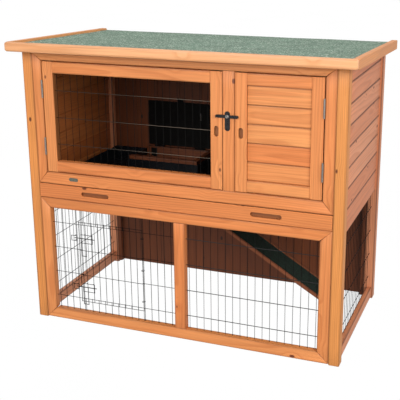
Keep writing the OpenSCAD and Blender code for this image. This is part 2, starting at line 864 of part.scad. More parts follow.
module ramp_board() {
    color(wood)
        above_ground()
            on_ramp() translate([rod_at + 4, -ramp_w / 2 + ramp_rail_w, -ramp_t])
                cube([ramp_l - rod_at - 4, ramp_w - 2 * ramp_rail_w, ramp_t]);
}
module ramp_rails() {
    color(wood)
        above_ground()
            on_ramp()
                for (y = [-ramp_w / 2, ramp_w / 2 - ramp_rail_w + 0.1])
                    ramp_rail(y);
}
module ramp_rail(y) {
    difference() {
        board([ramp_rail_x, y, -ramp_t], [ramp_l - ramp_rail_x, ramp_rail_w - 0.1, ramp_rail_h]);
        translate([rod_at, y + 20, -1]) rotate([90, 0, 0]) cylinder(r = rod_r, h = 40);
    }
}
module ramp_felt() {
    color("#2f4a3a")
        on_ramp() translate([rod_at + 6, -ramp_w / 2 + ramp_rail_w + 1, 0.05])
            cube([ramp_l - 40, ramp_w - 2 * ramp_rail_w - 2, 1.5]);
}
// Round rod fixed in the ramp's rails; it turns in the brackets
module ramp_rod(r, l) {
    translate([rod_x, ramp_y + l / 2, rod_z]) rotate([90, 0, 0]) cylinder(r = r, h = l);
}
module ramp_hinge() color(zinc) ramp_rod(rod_r, hatch_y1 - hatch_y0 - 0.8);

// Plates on the curb's inner faces that carry the rod
module ramp_brackets() {
    color(zinc)
        difference() {
            for (y = [hatch_y0, hatch_y1 - 2.05])
                translate([rod_x - 7.5, y, rod_z - 8]) cube([24, 2, 44]);
            ramp_rod(rod_r + 0.08, 200);
        }
}

front_post_left();
front_post_right();
rear_post_left();
rear_post_right();
upper_frame();
door_mullion();
lower_frame();
run_mullion();
side_boards_left();
side_boards_right();
rear_wall_upper();
rear_wall_lower();
rear_rails();
side_bottom_rails();
floor_runners();
floor_panel();
partition();
tray();
drawer_front();
drawer_screws();
roof_frame();
roof_deck();
roof_felt();
roof_trim_front();
roof_trims_side();
badge_plate();
mesh_door_stiles();
mesh_door_rails();
mesh_door_mesh();
solid_door_stiles();
solid_door_rails();
solid_door_boards();
frame_hinge_leaves();
mesh_door_hinge_leaves();
solid_door_hinge_leaves();
door_hinge_pins();
latch_plate();
latch_bar();
latch_pivot();
run_mesh_left();
run_mesh_right();
side_mesh_left();
side_mesh_right();
wire_door();
wire_door_rings();
latch_guides();
latch_keepers();
wire_latch_upper();
wire_latch_lower();
hatch_curb();
hatch_lid();
lid_fittings();
lid_hinge_fixed();
lid_hinge_moving();
ramp_board();
ramp_rails();
ramp_felt();
ramp_hinge();
ramp_brackets();
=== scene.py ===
"""A two-storey rabbit hutch of glazed pine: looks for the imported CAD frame, in metres."""
from math import pi, radians

import bpy
import numpy as np
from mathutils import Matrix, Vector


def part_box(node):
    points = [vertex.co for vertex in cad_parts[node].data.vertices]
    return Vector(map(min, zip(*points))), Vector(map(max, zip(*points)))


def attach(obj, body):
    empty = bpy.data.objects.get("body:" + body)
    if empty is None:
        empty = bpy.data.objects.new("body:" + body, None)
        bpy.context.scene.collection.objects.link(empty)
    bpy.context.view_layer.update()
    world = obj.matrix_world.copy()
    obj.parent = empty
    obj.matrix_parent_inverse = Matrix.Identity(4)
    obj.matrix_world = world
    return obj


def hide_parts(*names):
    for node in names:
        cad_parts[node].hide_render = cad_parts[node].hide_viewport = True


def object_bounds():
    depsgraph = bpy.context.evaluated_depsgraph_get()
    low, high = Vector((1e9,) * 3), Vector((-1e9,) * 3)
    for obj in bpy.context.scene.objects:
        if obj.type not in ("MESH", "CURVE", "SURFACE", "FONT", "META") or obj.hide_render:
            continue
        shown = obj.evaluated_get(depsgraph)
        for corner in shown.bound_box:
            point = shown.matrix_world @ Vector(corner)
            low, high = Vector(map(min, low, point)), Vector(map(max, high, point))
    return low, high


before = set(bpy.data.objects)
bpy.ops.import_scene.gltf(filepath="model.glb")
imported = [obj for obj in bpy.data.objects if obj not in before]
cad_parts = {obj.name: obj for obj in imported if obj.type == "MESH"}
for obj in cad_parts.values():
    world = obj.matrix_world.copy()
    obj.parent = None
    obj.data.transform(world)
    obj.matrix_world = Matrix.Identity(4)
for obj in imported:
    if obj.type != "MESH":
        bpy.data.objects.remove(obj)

cad_low, cad_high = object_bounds()
cad_low, cad_high = np.array(cad_low), np.array(cad_high)
rng = np.random.default_rng(7)
MM = 0.001
X, Y, Z = 0, 1, 2

# ---------- camera, floor and light ----------

scene = bpy.context.scene
scene.view_settings.view_transform = "Standard"

camera_data = bpy.data.cameras.new("camera")
camera_data.sensor_width = 36.0
camera_data.lens = 75.71
camera_data.shift_x = -0.0558
camera_data.shift_y = -0.0744
camera = bpy.data.objects.new("camera", camera_data)
camera.location = (1.04534, -2.64386, 1.33445)
camera.rotation_euler = (radians(73.971), radians(0.205), radians(20.577))
scene.collection.objects.link(camera)
scene.camera = camera


def area_light(name, place, aim, size, power, colour=(1.0, 1.0, 1.0)):
    """A square soft box at place that looks at aim."""
    data = bpy.data.lights.new(name, "AREA")
    data.shape = "SQUARE"
    data.size = size
    data.energy = power
    data.color = colour
    light = bpy.data.objects.new(name, data)
    light.location = place
    direction = np.array(aim) - np.array(place)
    flat = float(np.hypot(direction[0], direction[1]))
    light.rotation_euler = (float(np.arctan2(flat, -direction[2])), 0.0,
                            float(np.arctan2(direction[1], direction[0])) - pi / 2)
    scene.collection.objects.link(light)


area_light("key_light", (-0.6, -3.6, 2.3), (0.0, 0.0, 0.55), 2.4, 84.0, (1.0, 0.98, 0.95))
area_light("side_light", (3.1, -2.2, 1.7), (0.1, 0.0, 0.5), 2.0, 74.0)
area_light("top_light", (0.0, 0.6, 3.6), (0.0, 0.0, 0.9), 2.6, 30.0)

# ---------- small tools ----------


def linear(code):
    """Linear colour (r, g, b, 1) of an sRGB hex code."""
    srgb = [int(code[i:i + 2], 16) / 255 for i in (0, 2, 4)]
    return tuple(c / 12.92 if c <= 0.04045 else ((c + 0.055) / 1.055) ** 2.4 for c in srgb) + (1.0,)


def new_material(name):
    """An empty node material: its tree and its Principled shader."""
    material = bpy.data.materials.new(name)
    material.use_nodes = True
    tree = material.node_tree
    tree.nodes.clear()
    shader = tree.nodes.new("ShaderNodeBsdfPrincipled")
    output = tree.nodes.new("ShaderNodeOutputMaterial")
    tree.links.new(shader.outputs[0], output.inputs[0])
    return material, tree, shader


def add(tree, kind, inputs=(), ramp=(), out=0, **settings):
    """Adds a node with its settings and returns its output out.

    inputs are (socket, value or output) pairs, and ramp holds a colour ramp's stops.
    """
    made = tree.nodes.new(kind)
    for key, value in settings.items():
        setattr(made, key, value)
    for key, value in inputs:
        if isinstance(value, bpy.types.NodeSocket):
            tree.links.new(value, made.inputs[key])
        else:
            made.inputs[key].default_value = value
    if ramp:
        stops = made.color_ramp.elements
        while len(stops) < len(ramp):
            stops.new(1.0)
        for stop, (place, colour) in zip(stops, ramp):
            stop.position = place
            stop.color = linear(colour) if isinstance(colour, str) else (colour, colour, colour, 1.0)
    return made.outputs[out]


def set_inputs(tree, shader, **values):
    """Sets or links the shader's sockets, named with underscores for spaces."""
    for key, value in values.items():
        socket = shader.inputs[key.replace("_", " ")]
        if isinstance(value, bpy.types.NodeSocket):
            tree.links.new(value, socket)
        else:
            socket.default_value = value


# ---------- materials ----------


# pine: the width of a growth ring, the cells that each may hold a knot, the knot's edge as a part of its
# cell, how far rings swell round it, how far they bend, where the pith lies, and fibres per metre
RING = 6.2 * MM
KNOT_CELLS = (1 / (130 * MM), 1 / (75 * MM), 1 / (75 * MM))
KNOT_EDGE, KNOT_SWELL = 0.085, 7 * MM
BEND = 30 * MM
PITH = (0.0, 12 * MM, 55 * MM)
FIBRES = (7.0, 330.0, 330.0)
# shift of the grain in a carried-over piece, so that its pith isn't in the middle of the hutch
OFF_PITH = (0.31, 0.017, 0.043)
# painted shade: a browner, darker tint over the inner faces of the side boards, which stand in the hutch's
# shade
INNER_SHADE_TINT = "cfbc8e"


def pine(name, early, late, warm, knot, fibre="board", ring=RING, roughness=0.46, contrast=1.0, glaze_and_gap_shade=0.3,
         face=None):
    """Pine under a glaze. fibre says which way the grain runs: along each board, or along x, y or z.

    Rings are the fractional part of the distance from a pith beside the board over the ring width;
    the distance is bent by noise and swells round the knots. Fibres are noise drawn out along the grain.
    glaze_and_gap_shade is how much a board's edges darken: partly glaze that gathers there, partly painted
    shade of the gaps between boards. face is the y of a front face: wood deeper than that, in a finger slot
    or a door gap, gets painted shade. An "edge" below zero marks an inner face, which gets painted shade, a
    browner and darker tint.
    """
    material, tree, shader = new_material(name)
    if fibre == "board":
        place = add(tree, "ShaderNodeAttribute", out="Vector", attribute_name="grain")
        tint = add(tree, "ShaderNodeAttribute", out="Fac", attribute_name="tint")
        edge = add(tree, "ShaderNodeAttribute", out="Fac", attribute_name="edge")
    else:
        turn = {"x": (0, 0, 0), "y": (0, 0, -pi / 2), "z": (0, pi / 2, 0)}[fibre]
        own = add(tree, "ShaderNodeTexCoord", out="Object")
        place = add(tree, "ShaderNodeMapping", [("Vector", own), ("Rotation", turn), ("Location", OFF_PITH)])
        stretched = add(tree, "ShaderNodeVectorMath", [(0, place), (1, (0.4, 3.0, 3.0))], operation="MULTIPLY")
        tint = add(tree, "ShaderNodeTexNoise", [("Vector", stretched), ("Scale", 2.2), ("Detail", 0.0)])
        edge = None
    # slow bends of the grain
    slow = add(tree, "ShaderNodeVectorMath", [(0, place), (1, (1.6, 9.0, 9.0))], operation="MULTIPLY")
    bend = add(tree, "ShaderNodeTexNoise", [("Vector", slow), ("Scale", 1.0), ("Detail", 2.0)])
    # knots: a point in every cell of 130 x 75 x 75 mm, some of them cut by the surface
    cells = add(tree, "ShaderNodeVectorMath", [(0, place), (1, KNOT_CELLS)], operation="MULTIPLY")
    near = add(tree, "ShaderNodeTexVoronoi", [("Vector", cells), ("Scale", 1.0), ("Randomness", 1.0)])
    eye = add(tree, "ShaderNodeMapRange", [(0, near), (1, KNOT_EDGE), (2, 0.05), (3, 0.0), (4, 1.0)],
              interpolation_type="SMOOTHSTEP")
    swell = add(tree, "ShaderNodeMapRange", [(0, near), (1, 0.34), (2, 0.0), (3, 0.0), (4, KNOT_SWELL)],
                interpolation_type="SMOOTHSTEP")
    # growth rings
    across = add(tree, "ShaderNodeVectorMath", [(0, place), (1, (0.0, 1.0, 1.0)), (2, PITH)],
                 operation="MULTIPLY_ADD")
    radius = add(tree, "ShaderNodeVectorMath", [(0, across)], out="Value", operation="LENGTH")
    bent = add(tree, "ShaderNodeMath", [(0, bend), (1, BEND), (2, radius)], operation="MULTIPLY_ADD")
    bent = add(tree, "ShaderNodeMath", [(0, bent), (1, swell)], operation="ADD")
    turns = add(tree, "ShaderNodeMath", [(0, bent), (1, 1 / ring)], operation="MULTIPLY")
    phase = add(tree, "ShaderNodeMath", [(0, turns)], operation="FRACT")
    rings = add(tree, "ShaderNodeValToRGB", [(0, phase)],
                ramp=[(0.0, 0.05), (0.45, 0.22), (0.82, 1.0), (0.93, 0.75), (1.0, 0.05)])
    # fibres, drawn about 1.5 mm wide so that they show
    drawn = add(tree, "ShaderNodeVectorMath", [(0, place), (1, FIBRES)], operation="MULTIPLY")
    fibres = add(tree, "ShaderNodeTexNoise", [("Vector", drawn), ("Scale", 1.0), ("Detail", 3.0)])
    blotch = add(tree, "ShaderNodeTexNoise", [("Vector", slow), ("Scale", 1.7), ("Detail", 3.0)])
    base = add(tree, "ShaderNodeMix", [("Factor", tint), (6, linear(early)), (7, linear(warm))], out=2,
               data_type="RGBA")
    mix = add(tree, "ShaderNodeMath", [(0, rings), (1, 0.42 * contrast)], operation="MULTIPLY")
    base = add(tree, "ShaderNodeMix", [("Factor", mix), (6, base), (7, linear(late))], out=2, data_type="RGBA")
    shade = add(tree, "ShaderNodeMapRange", [(0, fibres), (1, 0.3), (2, 0.7), (3, 1.0 - 0.13 * contrast),
                                             (4, 1.0 + 0.09 * contrast)])
    shade2 = add(tree, "ShaderNodeMapRange", [(0, blotch), (1, 0.25), (2, 0.75), (3, 0.93), (4, 1.07)])
    shade = add(tree, "ShaderNodeMath", [(0, shade), (1, shade2)], operation="MULTIPLY")
    if edge is not None:
        # board edges darken: partly glaze that gathers there, partly painted shade of the gaps between boards
        edge_glaze_and_shade = add(tree, "ShaderNodeMapRange", [(0, edge), (3, 1.0), (4, 1.0 - glaze_and_gap_shade)])
        shade = add(tree, "ShaderNodeMath", [(0, shade), (1, edge_glaze_and_shade)], operation="MULTIPLY")
        # inner faces get painted shade: a browner, darker tint
        inner = add(tree, "ShaderNodeMapRange", [(0, edge), (1, 0.0), (2, -1.0), (3, 0.0), (4, 1.0)])
        shaded_inner_tint = add(tree, "ShaderNodeVectorMath", [(0, base), (1, linear(INNER_SHADE_TINT)[:3])], operation="MULTIPLY")
        base = add(tree, "ShaderNodeMix", [("Factor", inner), (6, base), (7, shaded_inner_tint)], out=2, data_type="RGBA")
    if face is not None:
        own = add(tree, "ShaderNodeTexCoord", out="Object")
        depth = add(tree, "ShaderNodeSeparateXYZ", [(0, own)], out="Y")
        # painted shade: wood behind the front face darkens, down to 0.4 at 6 mm in, in slots and door gaps
        deep = add(tree, "ShaderNodeMapRange", [(0, depth), (1, face + 1 * MM), (2, face + 6 * MM), (3, 1.0),
                                                (4, 0.4)])
        shade = add(tree, "ShaderNodeMath", [(0, shade), (1, deep)], operation="MULTIPLY")
    base = add(tree, "ShaderNodeVectorMath", [(0, base), (1, shade)], operation="MULTIPLY")
    base = add(tree, "ShaderNodeMix", [("Factor", eye), (6, base), (7, linear(knot))], out=2, data_type="RGBA")
    rough = add(tree, "ShaderNodeMapRange", [(0, fibres), (1, 0.2), (2, 0.8), (3, roughness - 0.07),
                                             (4, roughness + 0.09)])
    relief = add(tree, "ShaderNodeMath", [(0, rings), (1, -0.35), (2, fibres)], operation="MULTIPLY_ADD")
    bump = add(tree, "ShaderNodeBump", [("Strength", 0.35), ("Distance", 0.4 * MM), ("Height", relief)])
    set_inputs(tree, shader, Base_Color=base, Roughness=rough, Normal=bump)
    return material


# Honey-coloured glaze over planed pine: warm orange, darker late wood, a few brown knots
GLAZE = dict(early="e39658", late="b65f29", warm="dc8246", knot="6b3214")
pine_board = pine("glazed_pine_board", **GLAZE)
pine_y = pine("glazed_pine_deep", fibre="y", early="e8a46c", late="c47238", warm="e09458", knot="6b3214")
# Drawer front and door stiles: painted shade darkens them inside their finger slots and at the gaps beside them
pine_drawer = pine("glazed_pine_drawer", early="dc8a4c", late="ad5520", warm="d27640", knot="6b3214", fibre="x",
                   face=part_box("drawer_front")[0][Y])
pine_stile = pine("glazed_pine_stile", fibre="z", face=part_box("solid_door_stiles")[0][Y], **GLAZE)
# Roof trim: paler wood that took less glaze, made paler still as a painted highlight of the light on its
# rounded top
pine_trim = pine("pale_pine_trim_painted_highlight", early="efb384", late="cf8448", warm="e6a470", knot="b8703c", roughness=0.4,
                 glaze_and_gap_shade=0.1)
# Posts: the same glaze on yellower wood
pine_post = pine("glazed_pine_post", early="e59c54", late="b26426", warm="dd8c48", knot="673112")
# Side boards: the glaze looks pinker on the sides; the joints are dark, partly from glaze gathered there and
# partly from painted shade of the gaps between boards
pine_side = pine("glazed_pine_side", early="e69a70", late="b5653c", warm="d88458", knot="683016", glaze_and_gap_shade=0.55)
# Inner and rear boards: rougher sawn; their dark brown is painted shade, as they stand inside or under the
# hutch
pine_inner = pine("shade_brown_pine_board", early="7c3d15", late="54280b", warm="683210", knot="331806",
                  roughness=0.62)
# Ramp: unglazed wood, red-brown and dull
pine_ramp = pine("dull_pine_rail", early="9c5a32", late="6e3a1c", warm="8a4a28", knot="442210", roughness=0.7)
# Plywood sheets of the floor, the partition and the roof
plywood = pine("brown_plywood", early="6f4426", late="583219", warm="643a20", knot="3d1f0e", fibre="x",
               ring=0.011, roughness=0.6, contrast=0.6)


def mineral_felt(name, dark, mid, light, grit, relief):
    """Felt covered with crushed slate: cells of the grit's size in three greens, with a mottle of 60 mm."""
    material, tree, shader = new_material(name)
    place = add(tree, "ShaderNodeTexCoord", out="Object")
    grit_cells = [("Vector", place), ("Scale", 1 / grit)]
    grains = add(tree, "ShaderNodeTexVoronoi", grit_cells)
    cell = add(tree, "ShaderNodeTexVoronoi", grit_cells, out="Color")
    pick = add(tree, "ShaderNodeSeparateColor", [(0, cell)])
    colour = add(tree, "ShaderNodeValToRGB", [(0, pick)],
                 ramp=[(0.0, dark), (0.3, mid), (0.72, mid), (0.9, light), (1.0, light)])
    mottle = add(tree, "ShaderNodeTexNoise", [("Vector", place), ("Scale", 16.0), ("Detail", 4.0)])
    shade = add(tree, "ShaderNodeMapRange", [(0, mottle), (1, 0.3), (2, 0.7), (3, 0.86), (4, 1.14)])
    colour = add(tree, "ShaderNodeVectorMath", [(0, colour), (1, shade)], operation="MULTIPLY")
    bump = add(tree, "ShaderNodeBump", [("Strength", 0.7), ("Distance", relief), ("Height", grains)])
    set_inputs(tree, shader, Base_Color=colour, Roughness=0.93, Normal=bump)
    return material


# Slate grit of 1 to 2 mm, drawn 3.5 mm wide on the roof and 2.5 mm on the ramp so that it shows
roof_felt = mineral_felt("green_roofing_felt", "34493e", "688270", "b0baab", 3.5 * MM, 1.0 * MM)
ramp_felt = mineral_felt("dark_ramp_felt", "08130d", "0f231a", "1c3629", 2.5 * MM, 0.8 * MM)


def enamel(name, colour, low, high, size, bump_depth=0.1 * MM, metallic=0.0, specular=0.5):
    """Painted or plated metal: roughness wanders between low and high over patches of the given size."""
    material, tree, shader = new_material(name)
    place = add(tree, "ShaderNodeTexCoord", out="Object")
    patches = add(tree, "ShaderNodeTexNoise", [("Vector", place), ("Scale", 1 / size), ("Detail", 4.0)])
    rough = add(tree, "ShaderNodeMapRange", [(0, patches), (1, 0.3), (2, 0.7), (3, low), (4, high)])
    shade = add(tree, "ShaderNodeMapRange", [(0, patches), (1, 0.3), (2, 0.7), (3, 0.8), (4, 1.2)])
    tint = add(tree, "ShaderNodeVectorMath", [(0, linear(colour)[:3]), (1, shade)], operation="MULTIPLY")
    bump = add(tree, "ShaderNodeBump", [("Strength", 0.3), ("Distance", bump_depth), ("Height", patches)])
    set_inputs(tree, shader, Base_Color=tint, Roughness=rough, Metallic=metallic, Specular_IOR_Level=specular,
               Normal=bump)
    return material


# Black enamel on steel wire: near black and dull
wire_enamel = enamel("black_enamelled_wire", "080706", 0.6, 0.76, 8 * MM, specular=0.15)
# Level wires of the door: a lit copy of the black wire, pale bright metal so that each shines along its top as
# a painted highlight
lit_level_wire = enamel("lit_copy_level_wire", "5e554c", 0.12, 0.22, 8 * MM, metallic=1.0)
# Level wires of the run's right bay: a lit copy of the black enamel, smoother and shinier, for a painted sheen
lit_run_level_wire = enamel("lit_copy_run_level_wire", "060707", 0.3, 0.42, 8 * MM, specular=0.4)
# Black powder coat on the tray's folded sheet: dim broad reflections
tray_paint = enamel("black_painted_sheet", "131519", 0.2, 0.32, 90 * MM, 0.1 * MM)
# Black enamel on a pressed steel latch
latch_enamel = enamel("black_latch_enamel", "17171a", 0.24, 0.4, 6 * MM)
# Flat near-black paint on the lid board and on the hinges of the lid and the ramp
lid_paint = enamel("dark_painted_board", "060504", 0.72, 0.88, 25 * MM, 0.4 * MM, specular=0.2)
# Bright zinc plate: pale grey metal with a soft sheen
zinc_plate = enamel("zinc_plated_steel", "9c9b98", 0.36, 0.52, 5 * MM, 0.1 * MM, 1.0)
# Grey moulded plastic of the blank badge
badge_plastic = enamel("grey_moulded_plastic", "5c5f54", 0.4, 0.55, 4 * MM)


def floor_material():
    """White studio sheet, lit evenly from behind so that it shows no shadow; its brightness wanders by 1%."""
    material, tree, shader = new_material("white_studio_sheet")
    place = add(tree, "ShaderNodeTexCoord", out="Object")
    mottle = add(tree, "ShaderNodeTexNoise", [("Vector", place), ("Scale", 1.5)])
    glow = add(tree, "ShaderNodeMapRange", [(0, mottle), (3, 0.99), (4, 1.01)])
    set_inputs(tree, shader, Base_Color=linear("000000"), Roughness=1.0, Specular_IOR_Level=0.0,
               Emission_Color=(1.0, 1.0, 1.0, 1.0), Emission_Strength=glow)
    return material


# ---------- shapes ----------


def shells(name, rings, material, body, nodes=(), grain=None, tint=None, edge=None, angle=35):
    """Closed shells from rings[n, s, k], point k of ring s of shell n.

    Quads join ring s to ring s + 1, and a flat face closes each end. Rings run anticlockwise as seen
    from the far end, so all faces point outwards.
    """
    count, rows, points, _ = rings.shape
    index = np.arange(count * rows * points).reshape(count, rows, points)
    onward = np.roll(index, -1, axis=2)
    quads = np.stack([index[:, :-1], onward[:, :-1], onward[:, 1:], index[:, 1:]], axis=-1).reshape(-1, 4)
    caps = np.concatenate([index[:, 0, ::-1], index[:, -1]])
    mesh = bpy.data.meshes.new(name)
    mesh.from_pydata(rings.reshape(-1, 3).tolist(), [], quads.tolist() + caps.tolist())
    for key, kind, field, values in (("grain", "FLOAT_VECTOR", "vector", grain),
                                     ("tint", "FLOAT", "value", tint),
                                     ("edge", "FLOAT", "value", edge)):
        if values is not None:
            mesh.attributes.new(key, kind, "POINT").data.foreach_set(field, np.ravel(values).astype(np.float32))
    mesh.shade_smooth()
    mesh.set_sharp_from_angle(angle=radians(angle))
    mesh.materials.append(material)
    piece = bpy.data.objects.new(name, mesh)
    scene.collection.objects.link(piece)
    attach(piece, body)
    if nodes:
        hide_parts(*nodes)
    return piece


# a board's worn corner, how far its faces bow, and how far the darker glaze reaches in from the corner
ARC = np.radians([0.0, 45.0, 90.0])
BOW = 0.15 * MM
FLANK = 3 * MM


def board_profile(half_b, half_c, r, flank):
    """Rounded rectangle, anticlockwise: at each corner a flank point, a quarter arc of radius r, a flank point.

    Returns the points (k, 2) and 1 on the arcs, 0 on the flanks.
    """
    points, worn = [], []
    for corner in range(4):
        turn = corner * pi / 2
        b_side, c_side = [(1, 1), (-1, 1), (-1, -1), (1, -1)][corner]
        centre = np.array([b_side * (half_b - r), c_side * (half_c - r)])
        arc = centre + r * np.stack([np.cos(ARC + turn), np.sin(ARC + turn)], axis=1)
        into = np.array([np.sin(turn), -np.cos(turn)]) * flank
        out = np.array([-np.cos(turn), -np.sin(turn)]) * flank
        points += [arc[:1] + into, arc, arc[-1:] + out]
        worn += [0, 1, 1, 1, 0]
    return np.concatenate(points), np.array(worn, float)


def board(low, high, along, r=2.2 * MM, start=None, end=None, rows=7):
    """One sawn board between two corners, as (rings, grain, edge).

    The rounded rectangle is carried along its axis; its first and last ring are drawn in by half the
    radius, and start and end give the cut's place at each point of the section, as for a mitre.
    The faces bow by up to 0.15 mm, as planed wood does.
    """
    low, high = np.array(low, float), np.array(high, float)
    b, c = (along + 1) % 3, (along + 2) % 3
    half_b, half_c = (high[b] - low[b]) / 2, (high[c] - low[c]) / 2
    profile, worn = board_profile(half_b, half_c, r, min(FLANK, (min(half_b, half_c) - r) * 0.6))
    section = np.zeros((len(profile), 3))
    section[:, b] = profile[:, 0] + (low[b] + high[b]) / 2
    section[:, c] = profile[:, 1] + (low[c] + high[c]) / 2
    first = start(section) if start else np.full(len(profile), low[along])
    last = end(section) if end else np.full(len(profile), high[along])
    t = np.concatenate([[0.0, 0.0], np.linspace(0.0, 1.0, rows)[1:-1], [1.0, 1.0]])
    inset = np.zeros(len(t))
    inset[[1, -2]] = r, -r
    length = first[None] + t[:, None] * (last - first)[None] + inset[:, None]
    rings = np.repeat(section[None], len(t), axis=0)
    rings[..., along] = length
    middle = (low + high) / 2
    for axis, half in ((b, half_b), (c, half_c)):
        factor = np.ones(len(t))
        factor[[0, -1]] = 1 - 0.5 * r / half
        bow = BOW * np.sin(t * rng.uniform(4, 9) + rng.uniform(0, 6))
        bow[[0, 1, -2, -1]] = 0
        squeeze = factor * (1 - abs(bow) / half)
        rings[..., axis] = middle[axis] + (rings[..., axis] - middle[axis]) * squeeze[:, None]
    # each board is sawn from another place in the tree
    shift = rng.uniform([-5, -0.03, -0.03], [5, 0.03, 0.03])
    grain = np.stack([rings[..., along], np.broadcast_to(profile[:, 0], rings.shape[:2]),
                      np.broadcast_to(profile[:, 1], rings.shape[:2])], axis=-1)
    if half_c > half_b:
        grain = grain[..., [0, 2, 1]]
    edge = np.repeat(worn[None], len(t), axis=0)
    edge[[0, -1]] = 1
    return rings, grain + shift, edge


ROOF_DROP = 26 * MM
ROOF_BUILD = 32 * MM


def roof_under(points):
    """Height of the roof frame's underside at each point's depth."""
    depth = (points[..., Y] - cad_low[Y]) / (cad_high[Y] - cad_low[Y])
    return cad_high[Z] - ROOF_DROP * depth - ROOF_BUILD


def timber(name, boards, material, body, nodes=(), place=None, tint=(0.0, 1.0), trim=True):
    """Boards joined into one piece; each has its own shade. place moves the finished points."""
    rings = np.stack([b[0] for b in boards])
    if trim:
        rings[..., Z] = np.minimum(rings[..., Z], roof_under(rings))
    if place is not None:
        rings = place(rings)
    grain = np.stack([b[1] for b in boards])
    edge = np.stack([b[2] for b in boards])
    shade = np.broadcast_to(rng.uniform(*tint, len(boards))[:, None, None], edge.shape)
    return shells(name, rings, material, body, nodes, grain, shade, edge)


MITRE_GAP = 0.25 * MM


def mitred(low, high, widths):
    """Four boards of a frame in the XZ plane with mitred corners; widths are left, bottom, right, top."""
    left, bottom, right, top = widths
    (x0, y0, z0), (x1, y1, z1) = low, high
    gap = MITRE_GAP
    return [
        board((x0, y0, z0), (x0 + left, y1, z1), Z,
              start=lambda p: z0 + gap + (p[:, X] - x0) * bottom / left,
              end=lambda p: z1 - gap - (p[:, X] - x0) * top / left),
        board((x1 - right, y0, z0), (x1, y1, z1), Z,
              start=lambda p: z0 + gap + (x1 - p[:, X]) * bottom / right,
              end=lambda p: z1 - gap - (x1 - p[:, X]) * top / right),
        board((x0, y0, z0), (x1, y1, z0 + bottom), X,
              start=lambda p: x0 + gap + (p[:, Z] - z0) * left / bottom,
              end=lambda p: x1 - gap - (p[:, Z] - z0) * right / bottom),
        board((x0, y0, z1 - top), (x1, y1, z1), X,
              start=lambda p: x0 + gap + (z1 - p[:, Z]) * left / top,
              end=lambda p: x1 - gap - (z1 - p[:, Z]) * right / top)]


WIRE_ROWS, WIRE_SIDES = 7, 8
WANDER = 0.3 * MM


def wires(starts, ends, diameter, along):
    """Straight round wires along one axis: circles of the wire's radius carried from starts to ends.

    Each wanders from its line by a slow sine, as welded mesh does.
    """
    starts, ends = np.array(starts, float), np.array(ends, float)
    b, c = (along + 1) % 3, (along + 2) % 3
    t = np.linspace(0, 1, WIRE_ROWS)
    turn = np.arange(WIRE_SIDES) * 2 * pi / WIRE_SIDES
    centres = starts[:, None] + t[None, :, None] * (ends - starts)[:, None]
    fade = np.sin(pi * t)
    for axis in (b, c):
        wave = np.sin(t[None] * rng.uniform(3, 8, (len(starts), 1)) + rng.uniform(0, 6, (len(starts), 1)))
        centres[..., axis] += WANDER * fade * wave
    rings = np.repeat(centres[:, :, None], WIRE_SIDES, axis=2)
    rings[..., b] += diameter / 2 * np.cos(turn)
    rings[..., c] += diameter / 2 * np.sin(turn)
    return rings


def wire_piece(name, groups, body, nodes, material=None):
    """One piece from several groups of wire rings."""
    return shells(name, np.concatenate(groups), material or wire_enamel, body, nodes, angle=60)


# ---------- posts, frames and walls ----------

POST_EDGE, POST_ROWS = 2.6 * MM, 15
for corner, material, slot in (("front_post_left", pine_post, "pine_glazed"),
                               ("front_post_right", pine_post, "pine_glazed"),
                               ("rear_post_left", pine_side, "pine_side"),
                               ("rear_post_right", pine_side, "pine_side")):
    low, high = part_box(corner)
    post = board(low, high, Z, r=POST_EDGE, rows=POST_ROWS)
    timber(corner + "_timber", [post], material, "frame", [corner])

# widths of the front frames' members, and the height of the door opening's top
STILE, SILL = 34 * MM, 41 * MM
DOOR_TOP = 922.5 * MM
low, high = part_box("upper_frame")
timber("upper_frame_timber", mitred(low, high, (STILE, SILL, STILE, high[Z] - DOOR_TOP)), pine_board, "frame",
       ["upper_frame"])
RUN_STILE = 38 * MM
RUN_BOTTOM, RUN_TOP = 41 * MM, 415 * MM
low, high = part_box("lower_frame")
timber("lower_frame_timber", mitred(low, high, (RUN_STILE, RUN_BOTTOM - low[Z], RUN_STILE, high[Z] - RUN_TOP)),
       pine_board, "frame", ["lower_frame"])
for name in ("door_mullion", "run_mullion"):
    low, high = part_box(name)
    timber(name + "_timber", [board(low, high, Z)], pine_board, "frame", [name])

BOARD_PITCH, FULL_BOARDS = 66 * MM, 7
BOARDS_FOOT = 503 * MM
# what is left under the roof is made as a board only if it is wider than this
THINNEST = 10 * MM
for side in ("left", "right"):
    low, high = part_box("side_boards_" + side)
    edges = [low[Z]] + [BOARDS_FOOT + k * BOARD_PITCH for k in range(FULL_BOARDS)] + [high[Z]]
    # the last board reaches the roof, so it is made full and trimmed there
    planks = [board((low[X], low[Y], z0), (high[X], high[Y], z1), Y, r=3 * MM)
              for z0, z1 in zip(edges[:-1], edges[1:]) if z1 - z0 > THINNEST]
    inward = -1 if side == "right" else 1
    for rings, _, edge in planks:
        edge[(rings[..., X] - (low[X] + high[X]) / 2) * inward > 0] = -1.0
    timber("side_boards_%s_timber" % side, planks, pine_side, "frame", ["side_boards_" + side])

REAR_BOARDS = 11
OVERLAP = 0.1 * MM
for level in ("upper", "lower"):
    low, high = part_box("rear_wall_" + level)
    width = (high[X] - low[X]) / REAR_BOARDS
    # each board but the first reaches a little into its neighbour
    planks = [board((low[X] + k * width - (OVERLAP if k else 0), low[Y], low[Z]),
                    (low[X] + (k + 1) * width, high[Y], high[Z]), Z, r=1.5 * MM) for k in range(REAR_BOARDS)]
    timber("rear_wall_%s_timber" % level, planks, pine_inner, "frame", ["rear_wall_" + level])

